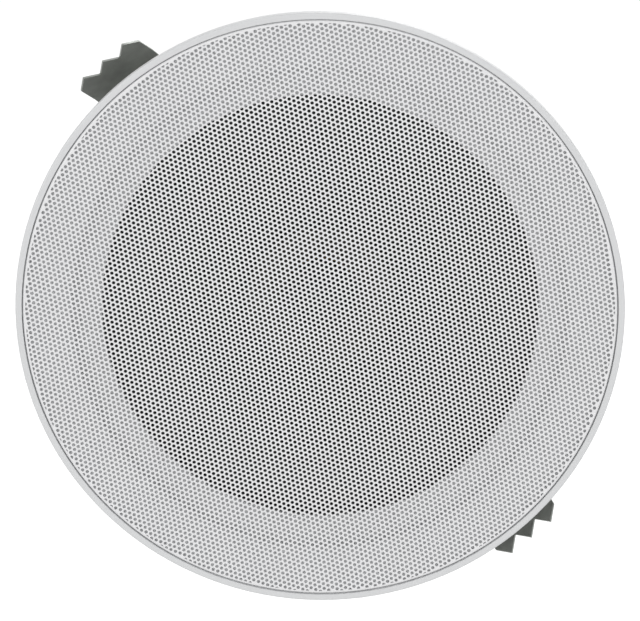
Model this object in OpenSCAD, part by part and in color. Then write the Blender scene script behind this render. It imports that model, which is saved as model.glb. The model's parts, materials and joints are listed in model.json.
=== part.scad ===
// Round in-ceiling loudspeaker: a moulded frame with a thin rim and a perforated steel grille,
// a cone driver held in it by four screws, two toothed spring leaves that grip the ceiling
// board, and a terminal block for the loudspeaker line.
// The frame's seat on the ceiling is the plane y = 0. The grille looks towards -Y.
// Inside the modules z is the distance in front of that seat, and "in_frame" turns it to -Y.

/* [Rim and flange] */
// Width of the flange outside the frame's body
flange_w = 16; // [14:0.5:22]
// Thickness of the flange, from the ceiling seat to the rim's front
flange_t = 3.6; // [3.2:0.1:5]
// Thickness of the flange's web behind the grille
web_t = 1.5; // [1.2:0.1:2]
// Width of the rim's front face
rim_w = 2.4; // [2:0.1:4]
// Rounding of the rim's outer edge
rim_round = 0.6; // [0.3:0.1:1]
// Gap between the rim and the grille's edge
rim_gap = 0.5; // [0.3:0.1:0.8]

/* [Frame body] */
// Distance from the baffle's step to the outside of the skirt
body_w = 5.1; // [4.6:0.1:6]
// Wall of the skirt
skirt_wall = 2.5; // [2:0.1:3]
// Length of the skirt behind the ceiling seat
skirt_l = 38; // [36:1:44]
// Width of the baffle's face round the opening
baffle_w = 11.2; // [9:0.1:12]
// Depth of the baffle's face behind the rim's front
baffle_depth = 6.5; // [5.5:0.1:8]
// Thickness of the baffle and of the driver's ledge
baffle_t = 2.5; // [2:0.1:3]
// Gap between the driver's flange and the wall of the opening
opening_play = 0.3; // [0.2:0.1:1]
// Depth of the driver's ledge behind the rim's front
ledge_depth = 13.6; // [12:0.1:16]
// Number of ribs between the baffle cup and the skirt
rib_count = 12; // [8:4:16]
// Thickness of the ribs
rib_t = 1.8; // [1.4:0.1:2.4]
// Depth of the ribs behind the baffle
rib_l = 15; // [10:1:20]

/* [Grille] */
// Thickness of the grille's sheet
sheet_t = 0.6; // [0.5:0.1:1]
// Distance between the holes, from centre to centre
hole_pitch = 10.8; // [10:0.1:14]
// Diameter of the holes across their corners
hole_d = 6.3; // [4:0.1:7]
// Turn of the rows of holes from the horizontal, in degrees
hole_turn = 39.2; // [0:0.1:60]
// Plain margin between the holes and the grille's edge
hole_margin = 1.6; // [1.2:0.1:4]

/* [Driver basket] */
// Width of the basket's flange outside the surround
basket_flange_w = 16.4; // [15:0.1:18]
// Distance of the basket's raised rim behind the baffle's face
basket_rim_drop = 0.4; // [0.2:0.1:2]
// Thickness of the basket's sheet steel
basket_t = 1; // [0.8:0.1:1.2]
// Inside diameter of the basket at the spider shelf
shelf_d = 81; // [78:1:84]
// Depth of the spider shelf behind the basket's flange
shelf_depth = 32; // [30:1:36]
// Inside diameter of the basket's neck
neck_d = 62; // [60:1:64]
// Depth of the neck below the spider shelf
neck_depth = 8; // [7:1:10]
// Number of windows in the basket
window_count = 8; // [6:1:8]
// Width of a window at its wide end
window_w = 22; // [16:1:24]
// Distance of the driver's screws from the basket's edge
screw_in = 12.4; // [11:0.1:12.4]
// Turn of the driver's screws from the diagonals, in degrees
driver_turn = 3.7; // [0:0.1:8]

/* [Moving parts of the driver] */
// Travel of the cone each way
cone_travel = 3; // [1:0.5:3]
// Diameter of the cone at its outer edge
cone_d = 108; // [104:1:110]
// Thickness of the cone's paper
cone_t = 0.7; // [0.5:0.1:0.8]
// Diameter of the small inner cone
whizzer_d = 56; // [48:1:60]
// Depth of the small inner cone
whizzer_depth = 15; // [12:1:17]
// Rise of the dust cap
cap_rise = 5; // [3:0.5:7]
// Radius of the surround's roll
roll_r = 4; // [3.5:0.1:4]
// Thickness of the surround
surround_t = 0.6; // [0.5:0.1:0.8]
// Drop of the surround's inner edge below its outer edge
surround_drop = 3; // [2:0.5:4]
// Thickness of the spider's cloth
spider_t = 0.5; // [0.4:0.1:0.6]
// Height of the spider's waves
wave_h = 1.6; // [1:0.1:2]
// Number of waves in the spider
wave_count = 4; // [3:1:5]
// Running clearance between moving and fixed parts
run_gap = 0.3; // [0.3:0.05:0.35]

/* [Magnet system] */
// Diameter of the pole
pole_d = 25; // [24:0.5:26]
// Clearance between the pole and the coil former
coil_gap = 0.35; // [0.3:0.05:0.5]
// Thickness of the coil former
former_t = 0.3; // [0.2:0.05:0.4]
// Thickness of the winding
winding_t = 0.8; // [0.5:0.1:1]
// Height of the winding
winding_h = 9; // [7:0.5:10]
// Diameter of the two magnet plates
plate_d = 66; // [64.5:0.5:70]
// Thickness of the two magnet plates
plate_t = 4; // [3.5:0.5:6]
// Diameter of the ferrite magnet
magnet_d = 72; // [70:1:80]
// Thickness of the ferrite magnet
magnet_t = 12; // [10:1:14]

/* [Clamp leaves] */
// Direction of the upper clamp, in degrees from +X
clamp_turn = 131.1; // [126:0.1:136]
// Width of a clamp leaf
leaf_w = 29.3; // [26:0.1:32]
// Thickness of the leaf's spring steel
leaf_t = 0.9; // [0.6:0.1:1]
// Reach of the tips of the teeth beyond the frame's body
tip_reach = 25.1; // [19:0.1:29]
// Depth of the tips behind the rim's front
tip_depth = 13.7; // [12:0.1:20]
// Number of teeth on a leaf
tooth_count = 3; // [2:1:5]
// Length of the teeth
tooth_l = 5.9; // [4:0.1:7]
// Length of the toothed lip between the notches and its bend
lip_l = 11; // [8:0.1:13]
// Slope of the toothed lip to the ceiling, in degrees
lip_slope = 52; // [48:1:56]
// Slope of the leaf's arm to the ceiling, in degrees
arm_slope = 39; // [36:1:41]
// Radius of the leaf's bend
leaf_bend_r = 2; // [1.5:0.1:2.5]
// Length of the leaf's foot on the skirt
foot_l = 24; // [22:1:26]
// Distance between the two rivets of a clamp
rivet_spacing = 16; // [12:1:18]
// Diameter of the rivets
rivet_d = 3; // [2.4:0.1:3.4]

/* [Terminals] */
// Width of the terminal block
block_w = 30; // [28:1:34]
// Length of the terminal block, radially
block_l = 16; // [15:1:18]
// Height of the terminal block
block_h = 12; // [11:1:14]
// Distance between the two poles
pole_spacing = 15; // [14:1:16]
// Diameter of the wire entries
entry_d = 3.4; // [3:0.1:3.8]
// Diameter of the insulated leads
lead_d = 2; // [1.6:0.1:2.2]
// Diameter of the braided leads to the coil
tinsel_d = 0.9; // [0.7:0.1:1.2]

/* [Hidden] */
$fn = 72;

// Cut this far past a face, so that no skin is left
over = 0.1;
// Sink this far into the carrying wall, so that moulded pieces join
root = 0.4;
// Clearance of a shank in its hole
shank_play = 0.05;

// Radii from the cone outwards, each from the one inside it
roll_in_r = cone_d / 2 + run_gap;
roll_mid_r = roll_in_r + roll_r + surround_t / 2;
lip_w = 3.4;
lip_out_r = roll_mid_r + roll_r + lip_w;
mouth_in = 0.6;
mouth_r = roll_mid_r + roll_r - mouth_in;
basket_r = lip_out_r + basket_flange_w;
screw_r = basket_r - screw_in;
opening_r = basket_r + opening_play;
cup_r = opening_r + baffle_t;
step_r = opening_r + baffle_w;
body_r = step_r + body_w;
skirt_r = body_r - skirt_wall;
rim_r = body_r + flange_w;
recess_r = rim_r - rim_w;
tip_r = body_r + tip_reach;

// Frame
baffle_z = flange_t - baffle_depth;
ledge_z = flange_t - ledge_depth;
ledge_back = ledge_z - baffle_t;
skirt_back = -skirt_l;
rib_back = baffle_z - baffle_t - rib_l;
boss_r = 4;
boss_l = 8;
rib_angles = [for (i = [0:rib_count - 1]) clamp_turn + 90 + 360 * (i + 0.5) / rib_count];

// Grille
grille_r = recess_r - rim_gap;
edge_round = 1.1;
hole_rows = ceil(grille_r / hole_pitch) + 1;
hole_reach = grille_r - edge_round - hole_margin - hole_d / 2;

// Basket
basket_front = ledge_z + basket_t;
basket_rim_z = baffle_z - basket_rim_drop;
shelf_r = shelf_d / 2;
shelf_z = basket_front - shelf_depth;
neck_r = neck_d / 2;
neck_z = shelf_z - neck_depth;
floor_back = neck_z - basket_t;
wall_lean = atan2(mouth_r - shelf_r, shelf_depth);
wall_across = basket_t / cos(wall_lean);
window_rim = 5;
window_top = basket_front - window_rim;
window_foot = shelf_z + window_rim;
window_taper = 0.68;
window_cut = 3;
ledge_bore_r = mouth_r + 2.5;
screw_angles = [for (i = [0:3]) 45 + 90 * i + driver_turn];
screw_hole_r = 2.2;
screw_core_r = 1.5;
screw_head_r = 3.4;
screw_head_h = 1.8;
screw_l = 9;
screw_hole_l = 10;
// The basket's floor is staked to the magnet's front plate
stake_angles = [for (i = [0:3]) 45 + 90 * i];
stake_shank_r = 1.5;
stake_l = 2;
stake_hole_l = 2.5;
stake_head_r = 2.6;
stake_head_h = 0.9;

// Surround, cone and coil
surround_z = basket_front + surround_t / 2;
gasket_h = 2;
gasket_w = 2.9;
gasket_r = lip_out_r + 0.3;
former_in_r = pole_d / 2 + coil_gap;
former_r = former_in_r + former_t;
winding_r = former_r + winding_t;
plate_bore_r = winding_r + coil_gap;
floor_bore_r = plate_bore_r + 0.6;
cone_edge_z = basket_front - surround_drop;
spider_in_r = former_r + run_gap;
spider_out_r = shelf_r - 1.2;
wave_out_r = neck_r - 0.5;
spider_z = shelf_z + spider_t / 2;
spider_rise = 2.4;
spider_top = spider_z + spider_rise + wave_h / 2 + spider_t / 2;
// The braided leads lie between the spider and the lowest place of the cone's neck
tinsel_z = spider_top + run_gap + tinsel_d / 2;
cone_neck_z = tinsel_z + tinsel_d / 2 + run_gap + cone_travel + cone_t;
cone_depth = cone_edge_z - cone_neck_z;
whizzer_t = 0.5;
whizzer_z = cone_neck_z + 2;
former_top = whizzer_z + 4;
cap_t = 0.5;
cap_ball_r = (former_r * former_r + cap_rise * cap_rise) / (2 * cap_rise);

// Magnet system
top_z = floor_back;
top_back = top_z - plate_t;
magnet_back = top_back - magnet_t;
yoke_back = magnet_back - plate_t;
coil_mid_z = top_z - plate_t / 2;
winding_top = coil_mid_z + winding_h / 2;
winding_back = coil_mid_z - winding_h / 2;
former_back = winding_back - 1;
magnet_bore_r = winding_r + 3;
stake_r = (neck_r + plate_bore_r) / 2;
edge_cut = 0.8;

// Clamp leaves, in the plane through the axis and the middle of the leaf
pad_r = sqrt(body_r * body_r - leaf_w * leaf_w / 4) - leaf_t;
pad_w = leaf_w + 1.4;
pad_in = 5.5;
pad_end = 2;
pocket_play = 0.2;
tip_z = flange_t - tip_depth;
lip_reach = tooth_l + lip_l;
knee = [tip_r - lip_reach * cos(lip_slope), tip_z - lip_reach * sin(lip_slope)];
foot_x = pad_r + leaf_t / 2;
// The arm leaves the bend at arm_slope and meets the knee
bend_x = foot_x + leaf_bend_r;
bend_end_x = bend_x + leaf_bend_r * sin(arm_slope);
bend_z = knee[1] - (knee[0] - bend_end_x) * tan(arm_slope) + leaf_bend_r * cos(arm_slope);
foot_top = bend_z + foot_l;
foot_room = 1;
pocket_top = foot_top + foot_room;
rivet_z = bend_z + foot_l / 2;
rivet_head_r = 3;
rivet_head_h = 1;
backing_t = 1;
backing_h = 10;
backing_end = 5;
backing_r = pad_r - pad_in - backing_t;
clamp_turns = [clamp_turn, clamp_turn + 180];

// Terminals, on the side between the two clamps
terminal_turn = clamp_turn + 90;
shelf_t = 2.5;
shelf_edge = 2;
block_z = skirt_back;
block_back = block_z - block_h;
block_gap = 3;
block_x = skirt_r - block_gap - block_l;
shelf_x = block_x - block_gap;
// Places of the screws along the block, in both poles and on the middle line
block_screw_in = 4;
block_screw_xs = [block_x + block_screw_in, block_x + block_l - block_screw_in];
channel_w = 5.8;
channel_floor = block_z - 4;
well_r = 3.2;
bar_w = 5.4;
bar_h = 4;
bar_in = 1.5;
bar_bore_r = 1.3;
bar_front = block_z - 3.6;
bar_back = bar_front - bar_h;
pole_screw_r = 1.25;
pole_screw_rise = 1.4;
pole_head_r = 2.8;
pole_head_h = 1.6;
shank_in = 0.2;
slot_w = 0.7;
fix_screw_l = block_z - channel_floor + shelf_t;
fix_head_r = 2.7;
fix_head_h = 1.6;
// Lug board on the outside of a basket arm
board_w = 17;
board_l = 13;
board_t = 1.5;
board_gap = 0.15;
board_mid_z = (window_top + window_foot) / 2 + 1;
board_r = wall_r(board_mid_z) + wall_across + board_gap;
board_rivet_z = -3.6;
board_rivet_r = 1.25;
board_head_r = 2.2;
board_head_h = 0.8;
lug_spacing = 10;
lug_w = 3.4;
lug_t = 0.5;
lug_z = 2.6;
lug_in = 4;
lug_out = 6;
lug_play = 0.05;
slot_h = 3.4;

// Inside radius of the basket's wall at height z
function wall_r(z) = shelf_r + (z - shelf_z) * (mouth_r - shelf_r) / shelf_depth;

function unit(v) = v / norm(v);
function side(a, b) = let (d = unit(b - a)) [-d[1], d[0]];
function corner(p, i) =
    i == 0 ? side(p[0], p[1])
    : i == len(p) - 1 ? side(p[i - 1], p[i])
    : let (a = side(p[i - 1], p[i]), m = unit(a + side(p[i], p[i + 1]))) m / (m * a);

// Outline of a sheet of thickness t that follows the points p
function ribbon(p, t) = concat(
    [for (i = [0:len(p) - 1]) p[i] + corner(p, i) * t / 2],
    [for (i = [len(p) - 1:-1:0]) p[i] - corner(p, i) * t / 2]
);

// Points on an arc round c
function arc(c, r, from, to, steps) =
    [for (i = [0:steps]) let (a = from + (to - from) * i / steps) c + r * [cos(a), sin(a)]];

// Point at t along a curve with four guide points
function curve_at(g, t) =
    g[0] * pow(1 - t, 3) + g[1] * 3 * t * pow(1 - t, 2) + g[2] * 3 * t * t * (1 - t) + g[3] * pow(t, 3);
function curve(g, steps) = [for (i = [0:steps]) curve_at(g, i / steps)];

// A point at radius r and height z in the direction of the terminals, moved sideways by s
function at_terminals(r, s, z) = [
    r * cos(terminal_turn) - s * sin(terminal_turn),
    r * sin(terminal_turn) + s * cos(terminal_turn),
    z
];

module in_frame() {
    rotate([90, 0, 0]) children();
}

module ring(outer, inner, z0, z1) {
    translate([0, 0, z0]) difference() {
        cylinder(r = outer, h = z1 - z0);
        translate([0, 0, -over]) cylinder(r = inner, h = z1 - z0 + 2 * over);
    }
}

module revolve(points) {
    rotate_extrude() polygon(points);
}

// Round wire of diameter d along the points p
module wire(p, d) {
    sides = 8;
    n = len(p);
    function way(i) = unit(p[min(i + 1, n - 1)] - p[max(i - 1, 0)]);
    function across(i) = unit(cross(way(i), [0.31, 0.17, 0.93]));
    ring_points = [
        for (i = [0:n - 1], k = [0:sides - 1])
            let (u = across(i), v = cross(way(i), u), a = 360 * k / sides)
                p[i] + d / 2 * (u * cos(a) + v * sin(a))
    ];
    walls = [
        for (i = [0:n - 2], k = [0:sides - 1])
            let (a = i * sides + k, b = i * sides + (k + 1) % sides)
                [a, a + sides, b + sides, b]
    ];
    first = [[for (k = [0:sides - 1]) k]];
    last = [[for (k = [sides - 1:-1:0]) (n - 1) * sides + k]];
    polyhedron(ring_points, concat(walls, first, last), convexity = 6);
}

// Screw with a domed head and a cross recess. Its head seats at z = 0
module screw(shank_r, shank_l, head_r, head_h) {
    difference() {
        union() {
            translate([0, 0, -shank_l]) cylinder(r = shank_r, h = shank_l + root);
            cylinder(r1 = head_r, r2 = head_r * 0.72, h = head_h);
        }
        for (a = [0, 90])
            rotate([0, 0, a])
                translate([-head_r * 0.5, -head_r * 0.1, head_h * 0.4])
                    cube([head_r, head_r * 0.2, head_h]);
    }
}

// Frame: rim, grille recess, baffle, driver cup with its ledge, and skirt, in one moulding
module frame() {
    color("whitesmoke") in_frame() difference() {
        union() {
            frame_shell();
            for (a = rib_angles)
                rotate([0, 0, a])
                    translate([cup_r - root, -rib_t / 2, rib_back])
                        cube([skirt_r - cup_r + 2 * root, rib_t, rib_l + root]);
            for (a = screw_angles)
                rotate([0, 0, a])
                    translate([screw_r, 0, ledge_back - boss_l])
                        cylinder(r = boss_r, h = boss_l + root);
            for (a = clamp_turns)
                rotate([0, 0, a])
                    translate([pad_r - pad_in, -pad_w / 2, skirt_back])
                        cube([pad_in + root, pad_w, pocket_top + pad_end - skirt_back]);
            terminal_shelf();
        }
        for (a = screw_angles)
            rotate([0, 0, a])
                translate([screw_r, 0, ledge_z - screw_hole_l])
                    cylinder(r = screw_core_r, h = screw_hole_l + over);
        for (a = clamp_turns) rotate([0, 0, a]) clamp_pocket();
        terminal_holes();
    }
}

module frame_shell() {
    revolve([
        [rim_r, 0],
        [rim_r, flange_t - rim_round],
        [rim_r - rim_round, flange_t],
        [recess_r, flange_t],
        [recess_r, web_t],
        [step_r, web_t],
        [step_r, baffle_z],
        [opening_r, baffle_z],
        [opening_r, ledge_z],
        [ledge_bore_r, ledge_z],
        [ledge_bore_r, ledge_back],
        [cup_r, ledge_back],
        [cup_r, baffle_z - baffle_t],
        [skirt_r, baffle_z - baffle_t],
        [skirt_r, skirt_back],
        [body_r, skirt_back],
        [body_r, 0]
    ]);
    // The rounded outer edge of the rim
    rotate_extrude()
        translate([rim_r - rim_round, flange_t - rim_round])
            intersection() {
                circle(r = rim_round);
                square(rim_round);
            }
}

// Flat that a clamp's foot lies on, with its two rivet holes
module clamp_pocket() {
    translate([pad_r, -leaf_w / 2 - pocket_play, skirt_back - over])
        cube([body_r - pad_r + over, leaf_w + 2 * pocket_play, pocket_top - skirt_back + over]);
    for (s = [-1, 1])
        translate([pad_r - pad_in - over, s * rivet_spacing / 2, rivet_z])
            rotate([0, 90, 0])
                cylinder(r = rivet_d / 2 + shank_play, h = pad_in + 2 * over);
}

// Shelf that carries the terminal block, with a gusset at each end
module terminal_shelf() {
    rotate([0, 0, terminal_turn]) {
        translate([shelf_x, -block_w / 2 - shelf_edge, skirt_back])
            cube([skirt_r + root - shelf_x, block_w + 2 * shelf_edge, shelf_t]);
        for (s = [-1, 1])
            translate([shelf_x, s * (block_w + shelf_edge) / 2 - rib_t / 2, skirt_back])
                cube([skirt_r + root - shelf_x, rib_t, ledge_back + root - skirt_back]);
    }
}

module terminal_holes() {
    rotate([0, 0, terminal_turn])
        for (x = block_screw_xs)
            translate([x, 0, skirt_back - over])
                cylinder(r = screw_core_r, h = shelf_t + 2 * over);
}

// Grille: a flat perforated sheet with its edge turned back onto the flange's web
module grille() {
    color("white") in_frame() difference() {
        rotate_extrude() {
            translate([0, flange_t - sheet_t]) square([grille_r - edge_round, sheet_t]);
            translate([grille_r - sheet_t, web_t])
                square([sheet_t, flange_t - edge_round - web_t]);
            translate([grille_r - edge_round, flange_t - edge_round])
                intersection() {
                    difference() {
                        circle(r = edge_round, $fn = 16);
                        circle(r = edge_round - sheet_t, $fn = 16);
                    }
                    square(edge_round);
                }
        }
        translate([0, 0, flange_t - sheet_t - over])
            linear_extrude(height = sheet_t + 2 * over)
                rotate([0, 0, hole_turn])
                    for (j = [-hole_rows:hole_rows], i = [-2 * hole_rows:2 * hole_rows])
                        let (x = (i + j / 2) * hole_pitch, y = j * hole_pitch * sin(60))
                            if (norm([x, y]) < hole_reach)
                                translate([x, y]) rotate(30) circle(r = hole_d / 2, $fn = 6);
    }
}

// Basket: pressed steel, from the raised rim and the screwed flange down to the floor on
// the magnet system
module basket() {
    color("dimgray") in_frame() difference() {
        revolve([
            [basket_r, basket_rim_z],
            [basket_r - basket_t, basket_rim_z],
            [basket_r - basket_t, basket_front],
            [mouth_r, basket_front],
            [shelf_r, shelf_z],
            [neck_r, shelf_z],
            [neck_r, neck_z],
            [floor_bore_r, neck_z],
            [floor_bore_r, floor_back],
            [neck_r + basket_t, floor_back],
            [neck_r + basket_t, shelf_z - basket_t],
            [wall_r(shelf_z - basket_t) + wall_across, shelf_z - basket_t],
            [wall_r(ledge_z) + wall_across, ledge_z],
            [basket_r, ledge_z]
        ]);
        for (i = [0:window_count - 1])
            rotate([0, 0, terminal_turn + 360 * (i + 0.5) / window_count]) window();
        for (a = screw_angles)
            rotate([0, 0, a])
                translate([screw_r, 0, ledge_z - over])
                    cylinder(r = screw_hole_r, h = basket_t + 2 * over);
        for (a = stake_angles)
            rotate([0, 0, a])
                translate([stake_r, 0, floor_back - over])
                    cylinder(r = stake_shank_r + shank_play, h = basket_t + 2 * over);
        rotate([0, 0, terminal_turn]) board_cuts();
    }
}

// One window of the basket, narrower towards the shelf, with its corners cut off
module window() {
    wide = window_w / 2;
    narrow = wide * window_taper;
    translate([neck_r, 0, 0])
        rotate([90, 0, 90])
            linear_extrude(height = basket_r - neck_r)
                polygon([
                    [-wide + window_cut, window_top],
                    [wide - window_cut, window_top],
                    [wide, window_top - window_cut],
                    [narrow, window_foot + window_cut],
                    [narrow - window_cut, window_foot],
                    [-narrow + window_cut, window_foot],
                    [-narrow, window_foot + window_cut],
                    [-wide, window_top - window_cut]
                ]);
}

// Moves to the middle of the lug board's inner face, with z along the wall and x out of it
module on_board() {
    translate([board_r, 0, board_mid_z]) rotate([0, wall_lean, 0]) children();
}

// Rivet hole and slot behind the lug board
module board_cuts() {
    on_board() {
        translate([-lug_in, 0, board_rivet_z])
            rotate([0, 90, 0])
                cylinder(r = board_rivet_r + shank_play, h = lug_in + board_t);
        translate([-lug_in, -lug_spacing / 2 - lug_w, lug_z - slot_h / 2])
            cube([lug_in + board_t, lug_spacing + 2 * lug_w, slot_h]);
    }
}

// Gasket that holds the surround's outer lip on the basket
module driver_gasket() {
    color([0.12, 0.12, 0.12]) in_frame()
        translate([0, 0, basket_front + surround_t])
            ring(gasket_r, gasket_r - gasket_w, 0, gasket_h);
}

// Surround: flat outer lip, half-round roll and a straight inner edge round the cone
module surround() {
    color([0.1, 0.1, 0.1]) in_frame() revolve(ribbon(
        concat(
            [[lip_out_r, surround_z]],
            arc([roll_mid_r, surround_z], roll_r, 0, 180, 16),
            [[roll_mid_r - roll_r, cone_edge_z]]
        ),
        surround_t
    ));
}

// Cone of pressed paper, a little curved from its edge down to the neck
module cone() {
    color([0.16, 0.16, 0.16]) in_frame() paper_cone([
        [cone_d / 2 - cone_t / 2, cone_edge_z + cone_t / 2],
        [cone_d / 2 - 14, cone_edge_z - cone_depth * 0.2],
        [former_r + 12, cone_neck_z + cone_depth * 0.3],
        [former_r - 1, cone_neck_z]
    ], cone_t);
}

// Paper cone along a curve with four guide points, trimmed where it meets the coil former
module paper_cone(guides, t) {
    rotate_extrude() difference() {
        polygon(ribbon(curve(guides, 10), t));
        translate([0, -rim_r]) square([former_r, 2 * rim_r]);
    }
}

// Small inner cone for the high notes, glued on the coil former
module whizzer_cone() {
    color([0.24, 0.23, 0.22]) in_frame() paper_cone([
        [whizzer_d / 2, whizzer_z + whizzer_depth],
        [whizzer_d / 2 - 8, whizzer_z + whizzer_depth * 0.72],
        [former_r + 3, whizzer_z + whizzer_depth * 0.5],
        [former_r - 1, whizzer_z]
    ], whizzer_t);
}

// Dust cap over the end of the coil former
module dust_cap() {
    color([0.12, 0.12, 0.12]) in_frame()
        translate([0, 0, former_top + cap_rise - cap_ball_r]) rotate_extrude() intersection() {
            difference() {
                circle(r = cap_ball_r);
                circle(r = cap_ball_r - cap_t);
            }
            translate([0, cap_ball_r - cap_rise]) square([former_r, cap_rise]);
        }
}

// Coil former: a thin tube from the winding up to the dust cap
module coil_former() {
    color("tan") in_frame() ring(former_r, former_in_r, former_back, former_top);
}

// Winding of enamelled wire round the former, in the magnet's gap
module coil_winding() {
    color("peru") in_frame() ring(winding_r, former_r, winding_back, winding_top);
}

// Spider: a disc of waved cloth that centres the coil former
module spider() {
    span = wave_out_r - spider_in_r;
    steps = wave_count * 8;
    color("goldenrod") in_frame() revolve(ribbon(
        concat(
            [for (i = [0:steps])
                let (t = i / steps)
                    [
                        spider_in_r + span * t,
                        spider_z + spider_rise * (1 - t) + wave_h / 2 * sin(360 * wave_count * t)
                    ]],
            [[spider_out_r, spider_z]]
        ),
        spider_t
    ));
}

// Front plate of the magnet system, with the round gap for the coil
module top_plate() {
    color("silver") in_frame() difference() {
        ring(plate_d / 2, plate_bore_r, top_back, top_z);
        for (a = stake_angles)
            rotate([0, 0, a])
                translate([stake_r, 0, top_z - stake_hole_l])
                    cylinder(r = stake_shank_r + shank_play, h = stake_hole_l + over);
    }
}

// Ring magnet of ferrite, its outer edges ground off
module magnet() {
    color([0.2, 0.2, 0.21]) in_frame() revolve([
        [magnet_bore_r, magnet_back],
        [magnet_d / 2 - edge_cut, magnet_back],
        [magnet_d / 2, magnet_back + edge_cut],
        [magnet_d / 2, top_back - edge_cut],
        [magnet_d / 2 - edge_cut, top_back],
        [magnet_bore_r, top_back]
    ]);
}

// Yoke: back plate and pole, turned in one piece
module yoke() {
    color("silver") in_frame() revolve([
        [0, yoke_back],
        [plate_d / 2 - edge_cut, yoke_back],
        [plate_d / 2, yoke_back + edge_cut],
        [plate_d / 2, magnet_back],
        [pole_d / 2, magnet_back],
        [pole_d / 2, top_z - edge_cut],
        [pole_d / 2 - edge_cut, top_z],
        [0, top_z]
    ]);
}

// Four stakes that hold the basket's floor on the front plate
module basket_rivets() {
    color("gainsboro") in_frame()
        for (a = stake_angles)
            rotate([0, 0, a])
                translate([stake_r, 0, neck_z]) {
                    translate([0, 0, -basket_t - stake_l])
                        cylinder(r = stake_shank_r, h = basket_t + stake_l + root);
                    cylinder(r1 = stake_head_r, r2 = stake_head_r * 0.7, h = stake_head_h);
                }
}

// Four screws that hold the driver on the frame's ledge
module driver_screws() {
    color([0.15, 0.15, 0.15]) in_frame()
        for (a = screw_angles)
            rotate([0, 0, a])
                translate([screw_r, 0, basket_front])
                    screw(screw_core_r - shank_play, screw_l, screw_head_r, screw_head_h);
}

// Insulating board for the solder lugs, on a basket arm
module lug_board() {
    color("saddlebrown") in_frame() rotate([0, 0, terminal_turn]) on_board() difference() {
        translate([0, -board_w / 2, -board_l / 2]) cube([board_t, board_w, board_l]);
        translate([-over, 0, board_rivet_z])
            rotate([0, 90, 0])
                cylinder(r = board_rivet_r + shank_play, h = board_t + 2 * over);
        for (s = [-1, 1])
            translate([-over, s * lug_spacing / 2 - lug_w / 2 - lug_play, lug_z - lug_t / 2 - lug_play])
                cube([board_t + 2 * over, lug_w + 2 * lug_play, lug_t + 2 * lug_play]);
    }
}

// Rivet through the lug board and the basket's arm
module board_rivet() {
    inner_head = -basket_t - 2 * board_gap - board_head_h;
    color("gainsboro") in_frame() rotate([0, 0, terminal_turn]) on_board()
        translate([0, 0, board_rivet_z]) rotate([0, 90, 0]) {
            translate([0, 0, inner_head]) cylinder(r = board_rivet_r, h = board_t + root - inner_head);
            translate([0, 0, board_t])
                cylinder(r1 = board_head_r, r2 = board_head_r * 0.7, h = board_head_h);
            translate([0, 0, inner_head]) cylinder(r = board_head_r, h = board_head_h);
        }
}

// Two flat solder lugs, each through a slot in the board
module solder_lugs() {
    color("goldenrod") in_frame() rotate([0, 0, terminal_turn]) on_board()
        for (s = [-1, 1])
            translate([0, s * lug_spacing / 2, lug_z - lug_t / 2]) difference() {
                translate([-lug_in, -lug_w / 2, 0]) cube([lug_in + board_t + lug_out, lug_w, lug_t]);
                translate([board_t + lug_out * 0.6, 0, -over])
                    cylinder(r = lug_w / 4, h = lug_t + 2 * over);
            }
}

// Two braided leads from the lugs to the coil former, through the basket
module tinsel_leads() {
    start = from_board(-lug_in - tinsel_d / 2, lug_z);
    color("darkgoldenrod") in_frame()
        for (s = [-1, 1])
            wire(curve([
                at_terminals(start[0], s * lug_spacing / 2, start[1]),
                at_terminals(start[0] - 7, s * lug_spacing / 2, start[1] + 1),
                at_terminals(former_r + 16, s * 3.5, tinsel_z + 0.5),
                at_terminals(former_r + run_gap, s * 3, tinsel_z)
            ], 12), tinsel_d);
}

// Radius and height of a point x out from the lug board's inner face and z along it
function from_board(x, z) = [
    board_r + x * cos(wall_lean) + z * sin(wall_lean),
    board_mid_z - x * sin(wall_lean) + z * cos(wall_lean)
];

// Clamp leaf: a foot on the skirt, a tight bend at the rear and an arm that reaches out and
// forward to a toothed lip. The teeth bite into the board behind the flange
module clamp_leaf() {
    path = concat(
        [[foot_x, foot_top]],
        arc([bend_x, bend_z], leaf_bend_r, 180, 270 + arm_slope, 10),
        [knee],
        [[tip_r, tip_z]]
    );
    // The cutting outline reaches this far past the teeth and the sides
    reach = 2;
    tooth_w = leaf_w / tooth_count;
    side_y = leaf_w / 2 + reach;
    side_x = tooth_l + reach * 2 * tooth_l / tooth_w;
    difference() {
        rotate([90, 0, 0])
            translate([0, 0, -leaf_w / 2])
                linear_extrude(height = leaf_w) polygon(ribbon(path, leaf_t));
        translate([tip_r, 0, tip_z])
            rotate([0, 180 - lip_slope, 0])
                translate([0, 0, -2 * leaf_t])
                    linear_extrude(height = 4 * leaf_t)
                        polygon(concat(
                            [[-reach, -side_y], [side_x, -side_y]],
                            [for (i = [1:2 * tooth_count - 1])
                                [i % 2 == 0 ? tooth_l : 0, -leaf_w / 2 + tooth_w * i / 2]],
                            [[side_x, side_y], [-reach, side_y]]
                        ));
        for (s = [-1, 1])
            translate([foot_x - leaf_t, s * rivet_spacing / 2, rivet_z])
                rotate([0, 90, 0])
                    cylinder(r = rivet_d / 2 + shank_play, h = 2 * leaf_t);
    }
}

module clamp_upper() {
    color([0.33, 0.34, 0.32]) in_frame() rotate([0, 0, clamp_turns[0]]) clamp_leaf();
}

module clamp_lower() {
    color([0.33, 0.34, 0.32]) in_frame() rotate([0, 0, clamp_turns[1]]) clamp_leaf();
}

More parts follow.
